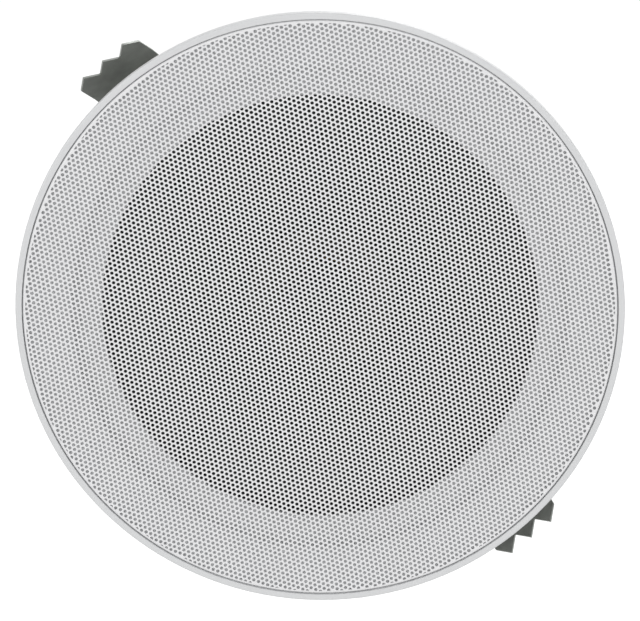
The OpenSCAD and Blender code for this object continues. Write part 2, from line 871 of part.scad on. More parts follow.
// Four rivets that hold the clamps' feet on the skirt
module clamp_rivets() {
    grip = pad_r + leaf_t - backing_r;
    color("gainsboro") in_frame()
        for (a = clamp_turns, s = [-1, 1])
            rotate([0, 0, a])
                translate([backing_r, s * rivet_spacing / 2, rivet_z])
                    rotate([0, 90, 0]) {
                        translate([0, 0, -root]) cylinder(r = rivet_d / 2, h = grip + 2 * root);
                        translate([0, 0, grip])
                            cylinder(r1 = rivet_head_r, r2 = rivet_head_r * 0.7, h = rivet_head_h);
                        translate([0, 0, -rivet_head_h]) cylinder(r = rivet_head_r, h = rivet_head_h);
                    }
}

// Steel plates behind the rivets, inside the skirt
module clamp_backings() {
    color("silver") in_frame()
        for (a = clamp_turns)
            rotate([0, 0, a])
                translate([backing_r, 0, rivet_z]) difference() {
                    translate([0, -rivet_spacing / 2 - backing_end, -backing_h / 2])
                        cube([backing_t, rivet_spacing + 2 * backing_end, backing_h]);
                    for (s = [-1, 1])
                        translate([-over, s * rivet_spacing / 2, 0])
                            rotate([0, 90, 0])
                                cylinder(r = rivet_d / 2 + shank_play, h = backing_t + 2 * over);
                }
}

// Terminal block: an insulating body with two poles, each with a wire entry at both ends
module terminal_block() {
    color([0.15, 0.15, 0.16]) in_frame() rotate([0, 0, terminal_turn]) difference() {
        translate([block_x, -block_w / 2, block_back]) cube([block_l, block_w, block_h]);
        for (s = [-1, 1]) {
            for (x = block_screw_xs)
                translate([x, s * pole_spacing / 2, block_back - over])
                    cylinder(r = well_r, h = bar_back - block_back + 2 * over);
            translate([block_x + bar_in, s * pole_spacing / 2 - bar_w / 2, bar_back])
                cube([block_l - 2 * bar_in, bar_w, bar_h]);
            translate([block_x - over, s * pole_spacing / 2, bar_back + bar_h / 2])
                rotate([0, 90, 0]) cylinder(r = entry_d / 2, h = block_l + 2 * over);
        }
        // Lowered middle, between the poles, for the two fixing screws
        translate([block_x - over, -channel_w / 2, block_back - over])
            cube([block_l + 2 * over, channel_w, channel_floor - block_back + over]);
        for (x = block_screw_xs)
            translate([x, 0, block_back - over])
                cylinder(r = screw_core_r + 2 * shank_play, h = block_h + 2 * over);
    }
}

// Brass bars that join the two ends of each pole
module contact_bars() {
    color("gold") in_frame() rotate([0, 0, terminal_turn])
        for (s = [-1, 1]) difference() {
            translate([block_x + bar_in, s * pole_spacing / 2 - bar_w / 2, bar_back])
                cube([block_l - 2 * bar_in, bar_w, bar_h]);
            translate([block_x, s * pole_spacing / 2, bar_back + bar_h / 2])
                rotate([0, 90, 0]) cylinder(r = bar_bore_r, h = block_l);
            for (x = block_screw_xs)
                translate([x, s * pole_spacing / 2, bar_back - over])
                    cylinder(r = pole_screw_r + shank_play, h = bar_h / 2);
        }
}

// Four screws that pinch the wires in the bars
module terminal_screws() {
    color("silver") in_frame() rotate([0, 0, terminal_turn])
        for (s = [-1, 1], x = block_screw_xs)
            translate([x, s * pole_spacing / 2, bar_back - pole_screw_rise])
                rotate([180, 0, 0]) difference() {
                    union() {
                        translate([0, 0, -pole_screw_rise - shank_in])
                            cylinder(r = pole_screw_r, h = pole_screw_rise + shank_in + root);
                        cylinder(r = pole_head_r, h = pole_head_h);
                    }
                    translate([-pole_head_r, -slot_w / 2, pole_head_h / 2])
                        cube([2 * pole_head_r, slot_w, pole_head_h]);
                }
}

// Two screws that hold the terminal block on its shelf
module block_screws() {
    color("silver") in_frame() rotate([0, 0, terminal_turn])
        for (x = block_screw_xs)
            translate([x, 0, channel_floor])
                rotate([180, 0, 0])
                    screw(screw_core_r - shank_play, fix_screw_l, fix_head_r, fix_head_h);
}

// Insulated lead from a solder lug to the inner end of a pole
module lead(s) {
    start = from_board(board_t + lug_out / 2, lug_z + lug_t / 2 + lead_d / 2 + lug_play);
    entry_z = bar_back + bar_h / 2;
    wire(curve([
        at_terminals(start[0], s * lug_spacing / 2, start[1]),
        at_terminals(start[0] + 11, s * (lug_spacing / 2 + 1), start[1] - 4),
        at_terminals(block_x - 11, s * pole_spacing / 2, entry_z),
        at_terminals(block_x + 1.2, s * pole_spacing / 2, entry_z)
    ], 12), lead_d);
}

module lead_red() {
    color("firebrick") in_frame() lead(1);
}

module lead_black() {
    color([0.08, 0.08, 0.08]) in_frame() lead(-1);
}

frame();
grille();
basket();
driver_gasket();
surround();
cone();
whizzer_cone();
dust_cap();
coil_former();
coil_winding();
spider();
top_plate();
magnet();
yoke();
basket_rivets();
driver_screws();
lug_board();
solder_lugs();
board_rivet();
tinsel_leads();
clamp_upper();
clamp_lower();
clamp_rivets();
clamp_backings();
terminal_block();
contact_bars();
terminal_screws();
block_screws();
lead_red();
lead_black();
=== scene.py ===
"""Round in-ceiling loudspeaker: finishes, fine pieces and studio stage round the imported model."""

import json
import math

import bmesh
import bpy
import numpy as np
from mathutils import Matrix, Vector

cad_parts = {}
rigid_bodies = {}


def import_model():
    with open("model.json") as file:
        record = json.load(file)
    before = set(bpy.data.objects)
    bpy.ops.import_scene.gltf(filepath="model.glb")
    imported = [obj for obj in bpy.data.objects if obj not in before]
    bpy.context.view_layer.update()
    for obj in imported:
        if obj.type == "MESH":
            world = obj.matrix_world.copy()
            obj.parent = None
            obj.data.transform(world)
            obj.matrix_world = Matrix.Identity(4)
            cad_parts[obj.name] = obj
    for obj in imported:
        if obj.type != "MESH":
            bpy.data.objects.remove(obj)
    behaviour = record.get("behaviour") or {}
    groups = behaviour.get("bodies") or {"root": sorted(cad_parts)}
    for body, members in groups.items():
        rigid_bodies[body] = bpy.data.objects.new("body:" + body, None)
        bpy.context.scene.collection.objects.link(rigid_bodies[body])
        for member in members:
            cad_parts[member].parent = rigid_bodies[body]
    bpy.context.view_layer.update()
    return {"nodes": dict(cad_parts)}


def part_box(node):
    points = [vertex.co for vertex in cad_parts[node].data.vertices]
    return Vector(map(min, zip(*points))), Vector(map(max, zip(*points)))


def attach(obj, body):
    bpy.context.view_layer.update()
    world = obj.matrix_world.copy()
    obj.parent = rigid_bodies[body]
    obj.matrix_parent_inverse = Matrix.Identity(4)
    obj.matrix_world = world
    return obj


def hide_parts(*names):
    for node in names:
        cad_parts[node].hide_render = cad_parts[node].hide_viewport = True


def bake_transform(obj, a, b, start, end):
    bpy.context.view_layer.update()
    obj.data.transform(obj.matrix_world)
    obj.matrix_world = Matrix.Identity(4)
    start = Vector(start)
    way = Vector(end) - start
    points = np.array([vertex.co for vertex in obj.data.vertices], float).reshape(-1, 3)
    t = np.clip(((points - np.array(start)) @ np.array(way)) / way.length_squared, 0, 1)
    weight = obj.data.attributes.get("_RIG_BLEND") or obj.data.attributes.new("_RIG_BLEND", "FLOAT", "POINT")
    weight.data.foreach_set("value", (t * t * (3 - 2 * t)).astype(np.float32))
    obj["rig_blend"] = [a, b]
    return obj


bl_info = {
    "name": "In Ceiling Speaker",
    "version": (1, 0, 0),
    "blender": (4, 5, 0),
    "location": "3D View > Sidebar > Speaker",
    "description": "Dresses an in-ceiling loudspeaker: grille, frame, clamps, driver and terminals",
    "category": "Object",
}

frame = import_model()
MM = 0.001
# Vertices nearer than this are the same corner
SAME = 0.001 * MM
# Faces that turn less than this are one flat face, and edges that turn more stay sharp, in degrees
FLAT = 0.3
CREASE = 35
HOUSING = "housing"
MOVING = "moving_cone"
# The part's z, forward from the ceiling seat, lies along -Y
TO_FRAME = Matrix.Rotation(math.pi / 2, 4, "X")
# Directions of the upper clamp and of the terminals round the axis, in degrees
CLAMP_TURN = 131.1
TERMINAL_TURN = CLAMP_TURN + 90


def node_span(name):
    """Lowest and highest corner of a CAD node at rest."""
    low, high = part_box(name)
    return Vector(low), Vector(high)


def srgb(code):
    """Linear RGB of an sRGB hex colour."""
    parts = [int(code[i : i + 2], 16) / 255 for i in (0, 2, 4)]
    return [c / 12.92 if c <= 0.04045 else ((c + 0.055) / 1.055) ** 2.4 for c in parts]


# Sizes and colours that a user would change


def length(name, text, value):
    """A length setting, given in millimetres and kept in metres."""
    return bpy.props.FloatProperty(name=name, description=text, default=value * MM, unit="LENGTH")


def colour(name, text, code):
    """A colour setting, given as an sRGB hex value."""
    return bpy.props.FloatVectorProperty(
        name=name, description=text, subtype="COLOR", size=3, min=0, max=1, default=srgb(code)
    )


class SpeakerSizes(bpy.types.PropertyGroup):
    """Sizes of the grille's sheet, the broken edges and the camera's place"""

    hole_pitch: length("Hole pitch", "Distance between the grille's holes", 1.89)
    hole_width: length("Hole width", "Diameter of the grille's holes", 1.33)
    row_turn: bpy.props.FloatProperty(
        name="Row turn",
        description="Angle of a row of holes from the horizontal",
        default=math.radians(39.26),
        subtype="ANGLE",
    )
    row_x: length("Row offset across", "Place of the hole nearest the middle, across", 0.25)
    row_z: length("Row offset up", "Place of the hole nearest the middle, up", 0.73)
    sheet_thickness: length("Sheet thickness", "Thickness of the grille's steel", 0.6)
    sheet_dish: length("Sheet dish", "Depth of the grille's middle behind its edge", 1.58)
    sheet_bend: length("Sheet bend", "Outer radius of the grille's turned edge", 0.75)
    edge_break: length("Edge break", "Rounding of moulded and cut edges", 0.25)
    camera_distance: length("Camera distance", "From the camera to the rim's middle", 1465.1)


class SpeakerColours(bpy.types.PropertyGroup):
    """Colours of the larger pieces and of the background"""

    coat: colour("Powder coat", "White coat of the grille", "F8F8F9")
    moulding: colour("Moulding", "White plastic of the frame", "E6E7E8")
    spring: colour("Spring steel", "Dark finish of the clamp leaves", "90938E")
    black_coat: colour("Black coat", "Coat of the driver's basket", "1B1B1D")
    paper: colour("Cone paper", "Pressed paper of the cone", "262524")
    background: colour("Background", "Floor and backdrop", "FFFFFF")


# Materials


def add_node(tree, kind, settings=None, links=None):
    """Adds a shader node, sets its properties and sockets and links its inputs."""
    made = tree.nodes.new(kind)
    for key, value in (settings or {}).items():
        if isinstance(key, int) or key in made.inputs:
            made.inputs[key].default_value = value
        else:
            setattr(made, key, value)
    for key, source in (links or {}).items():
        tree.links.new(source, made.inputs[key])
    return made


def new_material(name):
    """Starts a material, and gives its node tree, its output and its object coordinates."""
    material = bpy.data.materials.new(name)
    material.use_nodes = True
    tree = material.node_tree
    tree.nodes.clear()
    output = add_node(tree, "ShaderNodeOutputMaterial")
    place = add_node(tree, "ShaderNodeTexCoord").outputs["Object"]
    return tree, output, place


def surface(tree, output, settings, links):
    """Closes a material with a Principled surface."""
    shader = add_node(tree, "ShaderNodeBsdfPrincipled", settings, links)
    tree.links.new(shader.outputs[0], output.inputs["Surface"])


def mottled(tree, place, tone, spread, grain_mm, detail=3):
    """A colour that drifts by spread round tone, with patches of about grain_mm."""
    noise = add_node(
        tree,
        "ShaderNodeTexNoise",
        {"Scale": 1 / (grain_mm * MM), "Detail": detail},
        {"Vector": place},
    )
    ramp = add_node(tree, "ShaderNodeValToRGB", {}, {"Fac": noise.outputs["Fac"]})
    ramp.color_ramp.elements[0].color = [c * (1 - spread) for c in tone] + [1]
    ramp.color_ramp.elements[1].color = [min(c * (1 + spread), 1) for c in tone] + [1]
    ramp.color_ramp.elements[0].position = 0.3
    ramp.color_ramp.elements[1].position = 0.7
    return ramp.outputs["Color"]


def grainy(tree, place, grain_mm, height_mm, detail=2):
    """A bump of fine grain, grain_mm wide and height_mm high."""
    noise = add_node(
        tree,
        "ShaderNodeTexNoise",
        {"Scale": 1 / (grain_mm * MM), "Detail": detail},
        {"Vector": place},
    )
    bump = add_node(
        tree,
        "ShaderNodeBump",
        {"Distance": height_mm * MM, "Strength": 1.0},
        {"Height": noise.outputs["Fac"]},
    )
    return bump.outputs["Normal"]


def powder_coat(name, tone):
    """Baked powder coat on steel: satin, with a faint orange-peel skin that softens reflections."""
    tree, output, place = new_material(name)
    surface(
        tree,
        output,
        {"Roughness": 0.42, "IOR": 1.5, "Specular IOR Level": 0.4},
        {
            "Base Color": mottled(tree, place, tone, spread=0.01, grain_mm=25),
            "Normal": grainy(tree, place, grain_mm=0.9, height_mm=0.012),
        },
    )


def hard_plastic(name, tone, roughness=0.38):
    """Injection-moulded ABS and its like: even colour, fine spark-eroded grain, a soft sheen."""
    tree, output, place = new_material(name)
    surface(
        tree,
        output,
        {"Roughness": roughness, "IOR": 1.53},
        {
            "Base Color": mottled(tree, place, tone, spread=0.012, grain_mm=40),
            "Normal": grainy(tree, place, grain_mm=0.35, height_mm=0.008),
        },
    )


def phosphated_steel(name, tone):
    """Phosphated spring steel: dark grey, dull, with cloudy patches in its crystals."""
    tree, output, place = new_material(name)
    surface(
        tree,
        output,
        {"Metallic": 0.35, "Roughness": 0.5},
        {
            "Base Color": mottled(tree, place, tone, spread=0.14, grain_mm=6),
            "Normal": grainy(tree, place, grain_mm=0.4, height_mm=0.01),
        },
    )


def bare_metal(name, tone, roughness, grain=0.5):
    """Plated, drawn or cut metal: bright, with fine handling marks."""
    tree, output, place = new_material(name)
    surface(
        tree,
        output,
        {"Metallic": 1.0, "Roughness": roughness},
        {
            "Base Color": mottled(tree, place, tone, spread=0.06, grain_mm=5),
            "Normal": grainy(tree, place, grain_mm=grain, height_mm=0.004),
        },
    )


def turned_steel(name, tone, ring_mm=1.309):
    """Zinc-plated steel with the rings that turning leaves round the axis. The real ones are
    a few tenths of a millimetre apart, and these are as coarse as they need to be to show."""
    tree, output, place = new_material(name)
    # The pattern makes 20 / (2 pi) rings in a length of 1 / scale
    ring_scale = math.pi / 10 / (ring_mm * MM)
    rings = add_node(
        tree,
        "ShaderNodeTexWave",
        {
            "wave_type": "RINGS",
            "rings_direction": "Y",
            "Scale": ring_scale,
            "Distortion": 0.6,
            "Detail": 2,
        },
        {"Vector": place},
    )
    grooves = add_node(
        tree,
        "ShaderNodeBump",
        {"Distance": 0.012 * MM, "Strength": 1.0},
        {
            "Height": rings.outputs["Fac"],
            "Normal": grainy(tree, place, grain_mm=0.5, height_mm=0.004),
        },
    )
    surface(
        tree,
        output,
        {"Metallic": 1.0, "Roughness": 0.34},
        {
            "Base Color": mottled(tree, place, tone, spread=0.05, grain_mm=7),
            "Normal": grooves.outputs["Normal"],
        },
    )


def coated_steel(name, tone):
    """Dipped black coat on pressed steel: thin, satin and a little cloudy."""
    tree, output, place = new_material(name)
    surface(
        tree,
        output,
        {"Roughness": 0.45, "IOR": 1.5},
        {
            "Base Color": mottled(tree, place, tone, spread=0.15, grain_mm=8),
            "Normal": grainy(tree, place, grain_mm=0.7, height_mm=0.012),
        },
    )


def fibrous(name, tone):
    """Pressed paper pulp and dipped cloth: matte, with fibres that catch a little light."""
    tree, output, place = new_material(name)
    surface(
        tree,
        output,
        {"Roughness": 0.85, "IOR": 1.45},
        {
            "Base Color": mottled(tree, place, tone, spread=0.25, grain_mm=1.2, detail=5),
            "Normal": grainy(tree, place, grain_mm=0.5, height_mm=0.05, detail=4),
        },
    )


def soft_polymer(name, tone):
    """Moulded butyl rubber and its like: matte, with a soft wide highlight."""
    tree, output, place = new_material(name)
    surface(
        tree,
        output,
        {"Roughness": 0.62, "IOR": 1.52},
        {
            "Base Color": mottled(tree, place, tone, spread=0.12, grain_mm=4),
            "Normal": grainy(tree, place, grain_mm=0.5, height_mm=0.01),
        },
    )


def sintered_ferrite(name, tone):
    """Sintered ferrite: charcoal, ground on its flats, with a faint speckle."""
    tree, output, place = new_material(name)
    surface(
        tree,
        output,
        {"Metallic": 0.2, "Roughness": 0.55},
        {
            "Base Color": mottled(tree, place, tone, spread=0.25, grain_mm=0.8, detail=4),
            "Normal": grainy(tree, place, grain_mm=0.5, height_mm=0.02),
        },
    )


def make_finishes(colours):
    """Makes every finish on the loudspeaker."""
    powder_coat("white_powder_coat", colours.coat)
    hard_plastic("white_moulded_abs", colours.moulding)
    phosphated_steel("phosphated_spring_steel", colours.spring)
    # Sheared steel: bare and grey, a little brighter than the phosphated faces beside it
    bare_metal("sheared_steel_edge", srgb("8E918D"), roughness=0.4)
    coated_steel("black_coated_steel", colours.black_coat)
    # Plates: zinc is a pale cool grey, and nickel brighter and a little warm
    bare_metal("zinc_plated_steel", srgb("C4C5C3"), roughness=0.28)
    bare_metal("nickel_plated_steel", srgb("CFCDC6"), roughness=0.22)
    turned_steel("turned_zinc_steel", srgb("A9ABA8"))
    # Black oxide: nearly black, with the gleam of the steel below it
    bare_metal("black_oxide_steel", srgb("2A2A2B"), roughness=0.35)
    # Brass is yellow where drawn, and pale and silvery where tinned
    bare_metal("drawn_brass", srgb("CDA85A"), roughness=0.3)
    bare_metal("tinned_brass", srgb("D3CDB8"), roughness=0.3)
    # Copper: the braid is dulled by its strands, and the coil's enamel is glossy and reddish
    bare_metal("braided_copper", srgb("C07A4C"), roughness=0.4, grain=0.3)
    bare_metal("enamelled_copper", srgb("B0622F"), roughness=0.25, grain=0.3)
    # Paper: the cone is dyed black, and the small one is browner and shows its pulp
    fibrous("pressed_paper_cone", colours.paper)
    fibrous("pressed_paper_whizzer", srgb("3A3733"))
    # Rubber and foam: nearly black and matte
    soft_polymer("butyl_rubber_surround", srgb("1A1A1A"))
    soft_polymer("foam_gasket", srgb("202020"))
    # Cloth: the cap's is black, and the spider's is amber from the resin it was dipped in
    fibrous("treated_cloth_cap", srgb("222222"))
    fibrous("resin_dipped_cloth", srgb("A9863F"))
    # Polyimide film: amber, with a soft gloss
    soft_polymer("polyimide_film", srgb("B78A4C"))
    sintered_ferrite("sintered_ferrite", srgb("333436"))
    # Glass-filled nylon is satin black, and phenolic board brown and dull
    hard_plastic("glass_filled_nylon_black", srgb("1C1C1E"), roughness=0.42)
    hard_plastic("phenolic_laminate", srgb("6E4526"), roughness=0.5)
    # Soft PVC on the leads
    soft_polymer("red_pvc_insulation", srgb("A81E1A"))
    soft_polymer("black_pvc_insulation", srgb("141414"))


def finish_of(name):
    """The finish of that name."""
    return bpy.data.materials[name]


# Modelling helpers


def select_only(obj):
    """Deselects everything, then selects and activates one object."""
    for other in bpy.context.view_layer.objects:
        other.select_set(False)
    obj.select_set(True)
    bpy.context.view_layer.objects.active = obj


def apply_modifier(obj, kind, settings):
    """Adds a modifier with its settings and applies it."""
    select_only(obj)
    modifier = obj.modifiers.new(kind.title(), kind)
    for key, value in settings.items():
        setattr(modifier, key, value)
    bpy.ops.object.modifier_apply(modifier=modifier.name)


def apply_place(obj):
    """Puts an object's place and turn into its mesh."""
    select_only(obj)
    bpy.ops.object.transform_apply(location=True, rotation=True, scale=True)


def dress(obj, name, slot, material, *nodes):
    """Names a finished piece, gives it its finish and shows it in the place of its nodes."""
    obj.name = name
    obj.data.name = name
    obj.data.materials.clear()
    obj.data.materials.append(finish_of(material))
    if nodes:
        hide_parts(*nodes)


def seat(obj, name, body, slot, material, *nodes):
    """Dresses a finished piece and lets it ride on its body."""
    dress(obj, name, slot, material, *nodes)
    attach(obj, body)
    return obj


def coordinates(mesh):
    """The vertices of a mesh as an array."""
    flat = np.empty(len(mesh.vertices) * 3)
    mesh.vertices.foreach_get("co", flat)
    return flat.reshape(-1, 3)


def set_coordinates(mesh, points):
    """Moves the vertices of a mesh to the points of an array."""
    mesh.vertices.foreach_set("co", np.ascontiguousarray(points).ravel())
    mesh.update()


def mark_clear_edges(piece, shortest, angle):
    """Marks for rounding the sharp edges that no edge below the shortest length touches."""
    drawn = bmesh.new()
    drawn.from_mesh(piece.data)
    weight = drawn.edges.layers.float.new("bevel_weight_edge")
    for line in drawn.edges:
        if len(line.link_faces) != 2 or line.calc_face_angle(0) < math.radians(angle):
            continue
        near = [e.calc_length() for v in line.verts for e in v.link_edges]
        if min(near) > shortest:
            line[weight] = 1
    drawn.to_mesh(piece.data)
    drawn.free()


def softened_copy(node, name, body, slot, material, width, angle=CREASE, shortest=0):
    """A merged copy of a CAD node with its sharp edges rounded, shown in the node's place.
    Given a shortest length, edges that touch a shorter one stay sharp."""
    source = frame["nodes"][node]
    piece = source.copy()
    piece.data = source.data.copy()
    piece.parent = None
    for key in list(piece.keys()):
        del piece[key]
    bpy.context.scene.collection.objects.link(piece)
    select_only(piece)
    bpy.ops.object.mode_set(mode="EDIT")
    bpy.ops.mesh.select_all(action="SELECT")
    bpy.ops.mesh.remove_doubles(threshold=2 * SAME)
    bpy.ops.mesh.dissolve_limited(angle_limit=math.radians(FLAT))
    bpy.ops.mesh.normals_make_consistent(inside=False)
    bpy.ops.object.mode_set(mode="OBJECT")
    if width:
        rounding = {
            "width": width,
            "segments": 2,
            "limit_method": "ANGLE",
            "angle_limit": math.radians(angle),
            "use_clamp_overlap": False,
            "miter_outer": "MITER_ARC",
        }
        if shortest:
            mark_clear_edges(piece, shortest, angle)
            rounding.update(limit_method="WEIGHT", use_clamp_overlap=True)
        apply_modifier(piece, "BEVEL", rounding)
    smooth(piece, angle)
    return seat(piece, name, body, slot, material, node)


def smooth(piece, angle=CREASE):
    """Smooth shading up to an angle, with the normals of the larger faces kept true."""
    select_only(piece)
    bpy.ops.object.shade_smooth_by_angle(angle=math.radians(angle))
    apply_modifier(piece, "WEIGHTED_NORMAL", {"keep_sharp": True})


def profile_object(points):
    """A chain of edges through points (radius, height), given in millimetres."""
    first = Vector((points[0][0], 0, points[0][1])) * MM
    bpy.ops.mesh.primitive_plane_add(size=MM, location=first)
    piece = bpy.context.object
    apply_place(piece)
    bpy.ops.object.mode_set(mode="EDIT")
    bpy.ops.mesh.select_all(action="SELECT")
    bpy.ops.mesh.merge(type="CENTER")
    for before, after in zip(points, points[1:]):
        step = Vector((after[0] - before[0], 0, after[1] - before[1])) * MM
        bpy.ops.mesh.extrude_vertices_move(TRANSFORM_OT_translate={"value": step})
    bpy.ops.object.mode_set(mode="OBJECT")
    return piece


def spun(points, steps, thickness=0, offset=0):
    """A piece turned round the axis from a profile, and thickened if it is a sheet."""
    piece = profile_object(points)
    bpy.ops.object.mode_set(mode="EDIT")
    bpy.ops.mesh.select_all(action="SELECT")
    bpy.ops.mesh.spin(steps=steps, angle=2 * math.pi, center=(0, 0, 0), axis=(0, 0, 1))
    bpy.ops.mesh.select_all(action="SELECT")
    bpy.ops.mesh.remove_doubles(threshold=SAME)
    bpy.ops.mesh.normals_make_consistent(inside=False)
    bpy.ops.object.mode_set(mode="OBJECT")
    piece.matrix_world = TO_FRAME
    apply_place(piece)
    if thickness:
        apply_modifier(piece, "SOLIDIFY", {"thickness": thickness * MM, "offset": offset})
    return piece


def guided(guides, steps):
    """Points on a curve with four guide points."""
    made = []
    for i in range(steps + 1):
        t = i / steps
        weights = ((1 - t) ** 3, 3 * t * (1 - t) ** 2, 3 * t * t * (1 - t), t**3)
        made.append([sum(w * g[axis] for w, g in zip(weights, guides)) for axis in (0, 1)])
    return made


def at_terminals(radius, aside, height):
    """Place in the frame of a point in the terminals' direction, in metres."""
    turn = math.radians(TERMINAL_TURN)
    flat = Vector(
        (
            radius * math.cos(turn) - aside * math.sin(turn),
            radius * math.sin(turn) + aside * math.cos(turn),
            height,
        )
    )
    return TO_FRAME @ (flat * MM)


def wire(guides, width, rings=28, sides=12):
    """A round wire along a curve with four guide points, its ends closed."""
    bpy.ops.curve.primitive_bezier_curve_add(radius=1, location=(0, 0, 0))
    line = bpy.context.object
    first, last = line.data.splines[0].bezier_points
    for point in (first, last):
        point.handle_left_type = "FREE"
        point.handle_right_type = "FREE"
    first.co, first.handle_right, last.handle_left, last.co = guides
    first.handle_left = 2 * Vector(guides[0]) - Vector(guides[1])
    last.handle_right = 2 * Vector(guides[3]) - Vector(guides[2])
    line.data.dimensions = "3D"
    line.data.resolution_u = rings
    line.data.bevel_depth = width * MM / 2
    line.data.bevel_resolution = (sides - 4) // 2
    line.data.use_fill_caps = True
    select_only(line)
    bpy.ops.object.convert(target="MESH")
    piece = bpy.context.object
    bpy.ops.object.mode_set(mode="EDIT")
    bpy.ops.mesh.select_all(action="SELECT")
    bpy.ops.mesh.remove_doubles(threshold=SAME)
    bpy.ops.mesh.normals_make_consistent(inside=False)
    bpy.ops.object.mode_set(mode="OBJECT")
    return piece


def joined(pieces):
    """Several objects made one."""
    select_only(pieces[0])
    for other in pieces[1:]:
        other.select_set(True)
    bpy.ops.object.join()
    return bpy.context.object


# Grille

CELL_SIDES = 6
HOLE_SIDES = 8
# Share of the pitch by which the middle of the last holes may lie past the flat of the sheet
CELL_REACH = 0.08
# Distance inside the start of the bend at which the last holes and the last cells end
HOLE_INSET = 0.12 * MM
CELL_INSET = 0.02 * MM
BEND_RINGS = 5
# Form of the dish's section: 0.5 is half an ellipse, and 1 a parabola
DISH_POWER = 0.75


def perforated_cell(pitch, hole):
    """One six-sided cell of sheet with a hole in its middle."""
    across = pitch / math.sqrt(3)
    bpy.ops.mesh.primitive_circle_add(vertices=CELL_SIDES, radius=across, fill_type="NOTHING")
    cell = bpy.context.object
    bpy.ops.object.mode_set(mode="EDIT")
    bpy.ops.mesh.primitive_circle_add(vertices=HOLE_SIDES, radius=hole / 2, fill_type="NOTHING")
    bpy.ops.mesh.select_all(action="SELECT")
    bpy.ops.mesh.bridge_edge_loops()
    bpy.ops.object.mode_set(mode="OBJECT")
    return cell


def keep_vertices(obj, keep):
    """Deletes the vertices of an object that the mask doesn't keep."""
    select_only(obj)
    obj.data.polygons.foreach_set("select", np.zeros(len(obj.data.polygons), bool))
    obj.data.edges.foreach_set("select", np.zeros(len(obj.data.edges), bool))
    obj.data.vertices.foreach_set("select", ~keep)
    bpy.ops.object.mode_set(mode="EDIT")
    bpy.ops.mesh.delete(type="VERT")
    bpy.ops.object.mode_set(mode="OBJECT")


def form_sheet(points, edge_radius, bend, dish, front):
    """Carries flat points onto the grille's form: a shallow dish and an edge turned back."""
    reach = np.hypot(points[:, 0], points[:, 1])
    flat_radius = edge_radius - bend
    inside = np.minimum(reach, flat_radius)
    turn = np.clip((reach - flat_radius) / bend, 0, math.pi / 2)
    straight = np.maximum(reach - flat_radius - bend * math.pi / 2, 0)
    radius = inside + bend * np.sin(turn)
    depth = dish * (1 - (inside / edge_radius) ** 2) ** DISH_POWER
    height = front - depth - bend * (1 - np.cos(turn)) - straight
    scale = radius / np.maximum(reach, 1e-9)
    return np.column_stack([points[:, 0] * scale, points[:, 1] * scale, height])


